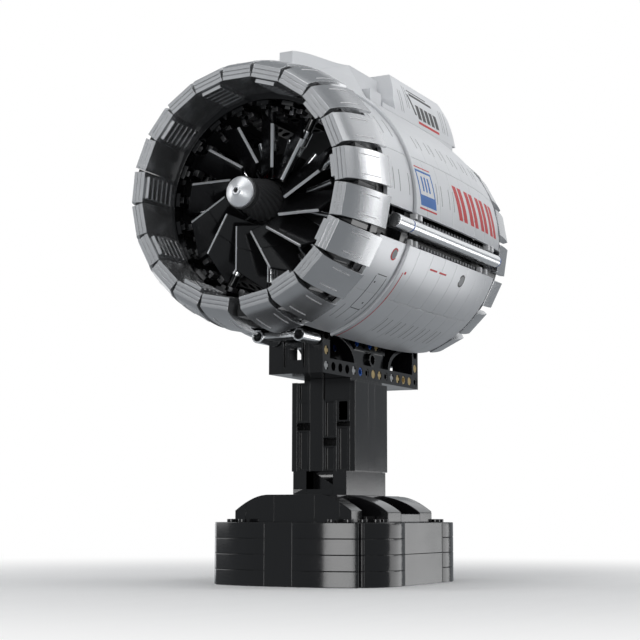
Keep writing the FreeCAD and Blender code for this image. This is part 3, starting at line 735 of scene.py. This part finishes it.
# %% [markdown]
# The collar between the inlet and the cowls is fixed and one brick wide. It could be a single turned ring,
# but its bricks would then have no joints, so it is laid from the same kind of brick without seams along
# the engine. Its upper part goes over the top in one more brick; the lower part stops at the stand.
# %% Collar
collar_low, collar_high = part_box("collar_upper")
collar_ends = (collar_low.y / MM, collar_high.y / MM)
side = joined(shell(COLLAR_SKIN, collar_ends, DOOR_ROWS, ([], [])), "collar_side")
top = shell(COLLAR_SKIN, collar_ends, (-DOOR_ROWS[0], DOOR_ROWS[0]), ([],))
finished(joined([side, mirror_of(side, "collar_other_side")] + top, "collar_upper_bricks"), "collar_upper")
side = joined(shell(COLLAR_SKIN, collar_ends, LOWER_ROWS, ([], [])), "collar_side")
finished(joined([side, mirror_of(side, "collar_other_side")], "collar_lower_bricks"), "collar_lower")
print("collar from y", round(collar_ends[0], 1), "to", round(collar_ends[1], 1), "mm")

# %% [markdown]
# The printed marks are real strips, barely proud of the shell, swept like the bricks and cut to a slant
# with Bisect. They are generic shapes: bars and blocks of colour, with no lettering. Strips were
# chosen over a painted texture so that they stay sharp at any distance and swing with the doors.
# %% Printed strips
PROUD = 0.06
SUNK = 0.3
HAIR = 0.22
SPARE = 6


def strip(skin, y0, y1, start, end):
    """A thin curved strip lying on a shell."""
    ys = stations(y0, y1)
    points = [(y, skin(y) + PROUD) for y in ys] + [(y, skin(y) - SUNK) for y in reversed(ys)]
    return swept(points, start, end, 1.5)


def slanted(piece, low, high, across, lean):
    """Cuts both ends of a strip along parallel lines that lean by so many degrees."""
    normal = Vector((0, 1, 0)) + across * math.tan(math.radians(lean))
    for point, keep_low in ((low, False), (high, True)):
        activate(piece)
        bpy.ops.object.mode_set(mode="EDIT")
        bpy.ops.mesh.select_all(action="SELECT")
        bpy.ops.mesh.bisect(plane_co=point, plane_no=normal, use_fill=True, clear_inner=not keep_low,
                            clear_outer=keep_low)
        closed_up()
    return piece


def shell_bar(y0, y1, start, end, lean, middle=83):
    """A slanted strip on a door. Strips with the same middle and lean are parallel."""
    a = math.radians(middle)
    low, high = (around(y, SHELL_RADIUS, middle) for y in (y0, y1))
    return slanted(strip(COWL_SKIN, y0 - SPARE, y1 + SPARE, start, end), low, high,
                   Vector((math.cos(a), 0, -math.sin(a))), lean)


def pairs(skin, centres, half, start, end):
    """Two short printed lines across the middle of each brick."""
    middles = [y + side * half for y in centres for side in (-1, 1)]
    return [strip(skin, y - HAIR, y + HAIR, start, end) for y in middles]


def marked(pieces, name, node, slot):
    """Joins strips into one print and repeats it on the other side with that side's body."""
    piece = joined(pieces, name + "_right")
    place(mirror_of(piece, name + "_left"), BODY_OF[node.replace("_right", "_left")], slot, INK[slot])
    place(piece, BODY_OF[node], slot, INK[slot])


print("prints stand", PROUD, "mm proud")

# %% [markdown]
# Short hairlines run across the middle of the bricks, in pairs on the cowls and in threes on the collar.
# They give the pale shell its scale, so they are laid brick by brick rather than as one pattern.
# %% Hairlines
marked(pairs(COWL_SKIN, (-27, -11.2, 4.6, 20.4, 36.2, 52), 3.0, 56.8, 63.3)
       + pairs(COWL_SKIN, (-18, -2), 3.0, 78.8, 88.0), "door_lines", "door_right", "grey_plastic")
marked(pairs(COWL_SKIN, (-20.1, -3.9, 12.3, 28.5, 45), 3.1, 143, 152.3), "cowl_lines", "cowl_lower_right",
       "grey_plastic")
rings = [(y, 52.5, 62) for y in (-72, -65.4, -55.7)] + [(y, 79, 88.6) for y in (-69.5, -63, -52.5)]
rings += [(y, 143, 152) for y in (-70, -63.5, -54)]
marked([strip(COLLAR_SKIN, y - HAIR, y + HAIR, a, b) for y, a, b in rings], "collar_lines", "collar_upper",
       "grey_plastic")
print("hairline", 2 * HAIR, "mm wide")

# %% [markdown]
# The doors carry the large marks: four pairs of slanted red bars, and a blue badge between two thin red
# rules. Within a mark all ends are cut with the same lean, so that it reads as one.
# %% Door marks
blocks = [shell_bar(y + k, y + k + 5, 75.5, 90.5, -18) for y in (5, 21.6, 38.2, 54.8) for k in (0, 7)]
marked(blocks, "door_blocks", "door_right", "red_plastic")
badge = [shell_bar(y, y + 1.1, 75.5, 91, -10) for y in (-42.6, -25.4)]
badge += [shell_bar(-41.5, -25.4, a, b, -10) for a, b in ((75.5, 76.4), (86.4, 91))]
badge += [shell_bar(y, y + 1.6, 78.2, 84.6, -10) for y in (-38, -34.4, -30.8)]
marked(badge, "door_badge", "door_right", "blue_plastic")
marked([shell_bar(-44, -24.2, 92, 92.7, -10), shell_bar(-44, -24.2, 74.0, 74.5, -10)], "door_underline",
       "door_right", "red_plastic")
print("red bars on a door", len(blocks))

# %% [markdown]
# On the lower cowl a thin red line follows the front edge, and two dashes stand where a notice would be.
# On the collar beside it, four black lines and two dots draw a small hatch.
# %% Cowl and collar marks
stripe = [strip(COWL_SKIN, -42.3, -41.7, 121, 162), strip(COWL_SKIN, -40.3, -38.7, 120.4, 121.6)]
marked(stripe, "cowl_stripe", "cowl_lower_right", "red_plastic")
frame_lines = [strip(COLLAR_SKIN, y - 0.2, y + 0.2, 126, 143) for y in (-64, -53)]
frame_lines += [strip(COLLAR_SKIN, -63.3, -53.7, a - 0.18, a + 0.18) for a in (125.2, 143.8)]
dots = ((-61.6, 129), (-57, 140))
frame_lines += [strip(COLLAR_SKIN, y - 0.5, y + 0.5, a - 0.42, a + 0.42) for y, a in dots]
marked(frame_lines, "hatch_print", "collar_lower", "black_plastic")
marked([strip(COWL_SKIN, y, y + 9, 115.4, 116.2) for y in (-16, -4)], "cowl_notes", "cowl_lower_right",
       "red_plastic")
print("hatch of", len(frame_lines), "lines and dots")

# %% [markdown]
# The round marks are discs laid on the curve, a dark or red rim and a lighter lid that stands a little
# prouder. A strip cut round would follow the curve exactly, but on marks this small the difference can't
# be seen, so a flat cylinder is turned to face outward and moved to its place on the skin.
# %% Round marks


def disc(y, angle, radius, proud, skin=COWL_SKIN):
    """A flat round print facing straight out from the shell."""
    fresh()
    bpy.ops.mesh.primitive_cylinder_add(vertices=32, radius=radius * MM, depth=0.5 * MM)
    piece = bpy.context.object
    bpy.ops.object.mode_set(mode="EDIT")
    bpy.ops.mesh.select_all(action="SELECT")
    bpy.ops.transform.rotate(value=-math.radians(angle), orient_axis="Y", center_override=(0, 0, 0))
    bpy.ops.transform.translate(value=around(y, skin(y) + proud - 0.25, angle))
    closed_up()
    return piece


marked([disc(27, 116, 3.6, 0.04)], "port_rim", "cowl_lower_right", "black_plastic")
marked([disc(27, 116, 2.7, 0.08)], "port_lid", "cowl_lower_right", "grey_plastic")
marked([disc(-57, 115, 3.3, 0.04, COLLAR_SKIN)], "ring_rim", "collar_lower", "red_plastic")
marked([disc(-57, 115, 2.5, 0.08, COLLAR_SKIN)], "ring_lid", "collar_lower", "grey_plastic")
left = [o for o in bpy.data.objects if o.type == "MESH" and o.name.endswith("_left")]
prints = [o for o in left if o.name not in NODES]
print("prints", len(prints), "on each side")

# %% [markdown]
# The pylon's flanks lean and curve, so their prints follow the side of the frame's block: each is a thin
# wall drawn down the flank, then extruded along the engine.
# %% Pylon prints
FLANK = {}
for v in NODES["pylon_block"].data.vertices:
    p = NODES["pylon_block"].matrix_world @ v.co / MM
    FLANK[round(p.z, 1)] = max(p.x, FLANK.get(round(p.z, 1), 0.0))
FLANK = outer(FLANK.items())


def flank_x(z):
    """Half the pylon's width at a height, in mm."""
    for (z0, x0), (z1, x1) in zip(FLANK, FLANK[1:]):
        if z <= z1:
            return x0 + (x1 - x0) * (z - z0) / (z1 - z0)
    return FLANK[-1][1]


def flank_strip(y0, y1, z0, z1, lean=0):
    """A thin print on the pylon's flank, with slanted ends if asked."""
    zs = [z0 + (z1 - z0) * i / 6 for i in range(7)]
    points = [(flank_x(z) + PROUD, z) for z in zs] + [(flank_x(z) - SUNK, z) for z in reversed(zs)]
    piece = chain([Vector((x, y0 - SPARE, z)) * MM for x, z in points])
    length = y1 - y0 + 2 * SPARE
    bpy.ops.mesh.extrude_region_move(TRANSFORM_OT_translate={"value": (0, length * MM, 0)})
    closed_up()
    low, high = (Vector((10, y, (z0 + z1) / 2)) * MM for y in (y0, y1))
    return slanted(piece, low, high, Vector((0, 0, -1)), lean)


feet = ((54, 272), (57, 272), (64, 277), (67, 277))
lines = [flank_strip(y - 0.2, y + 0.2, z0, z0 + 14) for y, z0 in feet]
lines += [flank_strip(y - 0.2, y + 0.2, 273, 288) for y in (116, 119, 123.5)]
marked(lines, "pylon_lines", "pylon_block", "grey_plastic")
bars = [flank_strip(78 + 6.6 * k, 82.6 + 6.6 * k, 273.4, 282, -12) for k in range(5)]
bow = [flank_strip(72, 105, 286.6, 288.2, -12), flank_strip(70, 98, 289.2, 289.9, -12)]
bow += [flank_strip(71, 73.2, 275, 286.6, -30)]
marked(bars + bow, "pylon_badge", "pylon_block", "black_plastic")
marked([flank_strip(78, 109, 270.2, 271.8, -12)], "pylon_underline", "pylon_block", "red_plastic")
print("pylon prints follow a flank from", FLANK[0], "to", FLANK[-1])

# %% [markdown]
# The inlet is a ring of 21 bricks with curved faces. What lies on them has to follow that curve, so the
# top brick's outline is read from the frame's mesh in the same way as the shell's.
# %% Outline of an inlet brick
PETALS, PITCH = 21, 16.9
PETAL_REAR = 69.5
TOP_PETAL = {}
for v in NODES["petals_smooth"].data.vertices:
    p = NODES["petals_smooth"].matrix_world @ v.co / MM
    if abs(p.x) < 8.2 and p.z > AXIS_Z / MM + 55:
        TOP_PETAL[round(p.y, 1)] = max(p.z, TOP_PETAL.get(round(p.y, 1), 0.0))
TOP_PETAL = outer(TOP_PETAL.items())
INLET_RISE = TOP_PETAL[-1][1] - AXIS_Z / MM - PETAL_REAR


def petal_top(y):
    """Height of the top petal's outer face at y, in mm."""
    for (y0, z0), (y1, z1) in zip(TOP_PETAL, TOP_PETAL[1:]):
        if y <= y1:
            return z0 + (z1 - z0) * (y - y0) / (y1 - y0)


print("the inlet sits", round(INLET_RISE, 2), "mm above the axis")

# %% [markdown]
# Each inlet brick has two slots along its outer face. They are not cut: each is drawn as a narrow light
# line, a painted highlight where the slot's edge catches the light. One pair is drawn along the top brick's
# own face and extruded. Spin with duplicates makes a copy at the ring's first brick, the original is
# deleted, and a second Spin repeats the copy round the ring at the bricks' own pitch. The ring sits a
# little above the engine's axis, so it is moved up last.
# %% Inlet slots as painted highlights


def repeat(piece, count, pitch):
    """Copies of all a piece's geometry, stepped about the engine axis inside the same mesh."""
    activate(piece)
    bpy.ops.object.mode_set(mode="EDIT")
    bpy.ops.mesh.select_all(action="SELECT")
    bpy.ops.mesh.spin(steps=count - 1, dupli=True, angle=-math.radians(pitch * (count - 1)),
                      center=CENTRE, axis=(0, 1, 0))
    closed_up()
    return piece


lines = []
ys = [-100.5 + 13 * i / 10 for i in range(11)]
points = [(y, petal_top(y) + 0.2) for y in ys] + [(y, petal_top(y) - SUNK) for y in reversed(ys)]
# Each bar is a painted highlight standing for the lit edge of one slot.
for x in (-5.2, 4.8):
    bar = chain([Vector((x, y, z - INLET_RISE)) * MM for y, z in points])
    bpy.ops.mesh.extrude_region_move(TRANSFORM_OT_translate={"value": (0.42 * MM, 0, 0)})
    closed_up()
    lines.append(bar)
lines = joined(lines, "petal_lines")
bpy.ops.object.mode_set(mode="EDIT")
bpy.ops.mesh.spin(steps=1, dupli=True, angle=math.radians(PITCH * (PETALS // 2)), center=CENTRE,
                  axis=(0, 1, 0))
bpy.ops.mesh.select_all(action="INVERT")
bpy.ops.mesh.delete(type="VERT")
bpy.ops.object.mode_set(mode="OBJECT")
lines = repeat(lines, PETALS, PITCH)
bpy.ops.object.mode_set(mode="EDIT")
bpy.ops.transform.translate(value=(0, 0, INLET_RISE * MM))
closed_up()
# The white plastic here is the painted highlight of the slots' lit edges.
place(lines, BODY_OF["petals_smooth"], "white_plastic", FINISH["white_plastic"])
print("inlet slot highlights", PETALS * 2)

# %% [markdown]
# The hub behind the spinner is fluted with a twist. It starts as a forty-sided cone; every second ridge
# is pressed in, the length is subdivided, Simple Deform twists it, and Subdivision rounds the flutes. A
# bump map could fake the flutes, but the hub's outline would stay round.
# %% Fluted hub
FLUTES = 20
PRESSED, TWIST = 0.82, 62
HUB_FRONT_RADIUS, HUB_BACK_RADIUS = 12.4, 8.4
hub_low, hub_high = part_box("fan_hub")
hub_front, hub_back = hub_low.y / MM + 3.4, hub_high.y / MM
hub_length = (hub_back - hub_front) * MM
fresh()
bpy.ops.mesh.primitive_cone_add(vertices=2 * FLUTES, radius1=HUB_FRONT_RADIUS * MM,
                                radius2=HUB_BACK_RADIUS * MM, depth=hub_length)
hub = bpy.context.object
bpy.ops.object.mode_set(mode="EDIT")
bpy.ops.mesh.select_all(action="DESELECT")
bpy.ops.object.mode_set(mode="OBJECT")
for v in hub.data.vertices:
    v.select = round(math.atan2(v.co.y, v.co.x) / math.pi * FLUTES) % 2 == 0
bpy.ops.object.mode_set(mode="EDIT")
bpy.ops.transform.resize(value=(PRESSED, PRESSED, 1), center_override=(0, 0, 0))
bpy.ops.mesh.select_all(action="DESELECT")
bpy.ops.mesh.select_mode(type="EDGE")
bpy.ops.object.mode_set(mode="OBJECT")
for e in hub.data.edges:
    a, b = (hub.data.vertices[i].co.z for i in e.vertices)
    e.select = a * b < 0
bpy.ops.object.mode_set(mode="EDIT")
bpy.ops.mesh.subdivide_edgering(number_cuts=7, interpolation="LINEAR", smoothness=0, profile_shape_factor=0)
bpy.ops.mesh.select_mode(type="VERT")
bpy.ops.object.mode_set(mode="OBJECT")
apply_modifier(hub, "SIMPLE_DEFORM", deform_method="TWIST", deform_axis="Z", angle=math.radians(TWIST))
apply_modifier(hub, "SUBSURF", levels=1)
activate(hub)
bpy.ops.object.mode_set(mode="EDIT")
bpy.ops.mesh.select_all(action="SELECT")
bpy.ops.transform.rotate(value=-math.pi / 2, orient_axis="X", center_override=(0, 0, 0))
bpy.ops.transform.translate(value=(0, (hub_front + hub_back) / 2 * MM, AXIS_Z))
closed_up()
bpy.ops.object.shade_smooth_by_angle(angle=math.radians(60))
collar = lathe([(hub_front + y, r) for y, r in ((-3.2, 2.6), (-3.2, 8.3), (0.2, 8.3), (0.2, 2.6))])
hub = joined([hub, collar], "fan_hub_fluted")
satin = plastic("black_satin", (0.06, 0.06, 0.062), (0.075, 0.075, 0.077), 0.34, bump=0.0, highlight_amount=0.0)
place(hub, BODY_OF["fan_hub"], SLOT_OF["fan_hub"], satin, "fan_hub")
print("flutes", FLUTES, "over", round(hub_length / MM, 1), "mm")

# %% [markdown]
# The spinner is the bright point that the eye goes to, so it has a true profile: a bored nose, a small
# ring round the bore, and a dome. A squashed sphere would have neither bore nor ring, so half a section is
# drawn and turned, like work on a lathe.
# %% Spinner
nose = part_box("spinner")[0].y / MM - 1.2
dome = [(1.9, 1.2), (0.1, 1.3), (0, 2.0), (0.3, 2.4), (0.8, 2.7), (0.9, 3.1), (2.2, 5.2), (3.5, 7.2),
        (4.1, 7.75), (4.8, 7.9), (5.6, 7.9), (6.1, 7.5), (6.1, 2.6), (2.0, 2.6)]
spinner = lathe([(nose + y, r) for y, r in dome])
turned = plastic("turned_silver", (0.90, 0.91, 0.93), (0.96, 0.97, 0.98), 0.4, metallic=0.9, spread=0.05)
finished(spinner, "spinner", width=0.1, finish=turned)
spinner.name = "spinner_dome"
print("spinner from y", round(nose, 1), "mm")

# %% [markdown]
# Each fan blade has a slim silver rail along its leading edge. It could be painted on the blade's edge, but
# it is a part of its own and catches the light on both sides. One cube is stretched, leaned with the blade
# and rounded, and Spin repeats it once for each blade. The rails ride with the fan.
# %% Blade rails
BLADES = 12


def block(x, y, r, sx, sy, sr, lean=0.0):
    """A cube of sx, sy, sr mm at x, y and height r above the axis, leaned about its own upright."""
    fresh()
    bpy.ops.mesh.primitive_cube_add(size=MM)
    piece = bpy.context.object
    bpy.ops.object.mode_set(mode="EDIT")
    bpy.ops.mesh.select_all(action="SELECT")
    bpy.ops.transform.resize(value=(sx, sy, sr), center_override=(0, 0, 0))
    bpy.ops.transform.rotate(value=-math.radians(lean), orient_axis="Z", center_override=(0, 0, 0))
    bpy.ops.transform.translate(value=Vector((x * MM, y * MM, AXIS_Z + r * MM)))
    closed_up()
    return piece


rail = block(10.1, -90.95, 25.4, 1.45, 0.9, 22.6, 46)
soften(rail, 0.14)
satin = plastic("satin_silver", (0.74, 0.75, 0.77), (0.8, 0.81, 0.83), 0.3, metallic=0.6, highlight_amount=0.0)
place(repeat(rail, BLADES, 360 / BLADES), BODY_OF["blades_inner"], "silver_plastic", satin)
rail.name = "blade_rails"
print("rails", BLADES)

# %% [markdown]
# Between the dark slats of the duct, small glossy clips catch the light. One group of four blocks is
# modelled and repeated with Spin, one group to a slat. An Array around an Empty would do the same, but
# it leaves the Empty behind in the scene.
# %% Duct clips
SLATS = 21
PEARL_BLACK = plastic("black_pearl", (0.14, 0.14, 0.145), (0.22, 0.22, 0.225), 0.3, metallic=0.8)
clips = [block(2.6, -72.4, 49.0, 3.4, 5.6, 2.6), block(-3.4, -71.0, 48.2, 2.4, 3.0, 3.4)]
clips += [block(0.4, -63.6, 48.6, 5.2, 3.4, 2.4), block(-2.0, -57.4, 48.4, 2.6, 4.6, 2.8)]
clips = joined(clips, "duct_clips")
soften(clips, 0.25)
place(repeat(clips, SLATS, 360 / SLATS), BODY_OF["duct_slats"], "black_plastic", PEARL_BLACK)
print("duct clips", 4 * SLATS)

# %% [markdown]
# Behind the fan, each arm of the fixed stator wears a bright sleeve in two parts. The sleeves could be
# bored to fit the arms, but they are seen only between the blades, so two rounded cylinders with a
# hairline between them are enough.
# %% Stator sleeves
ARMS, ARM_HALF = 12, 2.4
arm_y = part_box("stator_arms")[0].y + ARM_HALF * MM
sleeves = []
for low, high, radius in ((27.5, 32.0, 2.35), (32.3, 36.5, 2.6)):
    fresh()
    bpy.ops.mesh.primitive_cylinder_add(vertices=32, radius=radius * MM, depth=(high - low) * MM)
    sleeve = bpy.context.object
    bpy.ops.object.mode_set(mode="EDIT")
    bpy.ops.mesh.select_all(action="SELECT")
    bpy.ops.transform.translate(value=(0, arm_y, AXIS_Z + (low + high) / 2 * MM))
    closed_up()
    soften(sleeve, 0.2)
    sleeves.append(sleeve)
sleeves = repeat(joined(sleeves, "stator_sleeves"), ARMS, 360 / ARMS)
place(sleeves, BODY_OF["stator_arms"], "silver_plastic", FINISH["bright_silver"])
print("stator sleeves", ARMS, "at y", round(arm_y / MM, 1), "mm")

# %% [markdown]
# In the split between door and lower cowl, a row of small teeth runs along each black rail. An Array
# modifier with a constant offset repeats the first tooth, which is simpler than a loop of copies.
# %% Teeth in the split line
TEETH, TOOTH_PITCH = 29, 4
teeth = []
for x, r in ((65.0, -8.4), (61.6, -20.2)):
    tooth = block(x, COWL_Y[0] + 4, r, 1.6, 2.2, 1.8)
    soften(tooth, 0.2)
    apply_modifier(tooth, "ARRAY", count=TEETH, use_relative_offset=False, use_constant_offset=True,
                   constant_offset_displace=(0, TOOTH_PITCH * MM, 0))
    teeth.append(tooth)
teeth = joined(teeth, "split_teeth_right")
for side in (teeth, mirror_of(teeth, "split_teeth_left")):
    place(side, BODY_OF["side_rails"], "black_plastic", PEARL_BLACK)
print("teeth", 4 * TEETH)

# %% [markdown]
# The cover's two vaulted ends are each laid from five bricks. The frame has each end as one solid, so a
# welded copy is cut by pairs of Bisect planes a hairline apart before the edges are rounded. The foot of
# the neck, of three bricks, is done the same way.
# %% Cover ends in slices


def sliced(node, cuts, gap=0.12):
    """Replaces a node with slices of its copy, cut across at each x with a hairline between."""
    pieces = []
    for low, high in zip([None] + cuts, cuts + [None]):
        piece = copied(node)
        for cut, inset, keep_low in ((low, gap / 2, False), (high, -gap / 2, True)):
            if cut is not None:
                activate(piece)
                bpy.ops.object.mode_set(mode="EDIT")
                bpy.ops.mesh.select_all(action="SELECT")
                bpy.ops.mesh.bisect(plane_co=((cut + inset) * MM, 0, 0), plane_no=(1, 0, 0), use_fill=True,
                                    clear_inner=not keep_low, clear_outer=keep_low)
                closed_up()
        pieces.append(piece)
    finished(joined(pieces, node + "_slices"), node, width=0.25)


sliced("cover_ends", [-27.5, -10.6, 13, 27.5])
sliced("neck_foot", [-8, 8])
print("cover and neck foot cut into bricks")

# %% [markdown]
# Everything else keeps the frame's shape and gains rounded edges, wider ones on the large bricks of the
# stand and on the blades. The metal fittings get the brightest silver, and what lies deep in the duct a
# matt black, because a gloss there would mirror the lamps and spoil the depth.
# %% Remaining bricks
EDGE_OF = {"base_courses": 0.35, "base_panels": 0.3, "cover_fins": 0.35, "blades_inner": 0.4,
           "blades_outer": 0.4}
OWN_MODELS = {node for o in bpy.data.objects for node in o.get("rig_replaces", [])}
BRIGHT = {"stator_bushes", "stator_bars", "side_tubes", "chin_tubes"}
DEEP = {"stator_hub", "duct_wall", "core_case"}
for node in sorted(NODES):
    if node not in OWN_MODELS:
        finish = FINISH["bright_silver"] if node in BRIGHT else MATT if node in DEEP else None
        piece = finished(copied(node), node, EDGE_OF.get(node, EDGE), finish)
print("rounded", len(NODES) - len(OWN_MODELS), "pieces,", len(piece.data.polygons), "faces in the last")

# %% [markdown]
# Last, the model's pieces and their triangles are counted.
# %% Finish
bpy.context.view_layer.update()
shown = [o for o in bpy.data.objects if o.type == "MESH" and not o.hide_render]
print("pieces", len(shown), "triangles", sum(len(p.vertices) - 2 for o in shown for p in o.data.polygons))
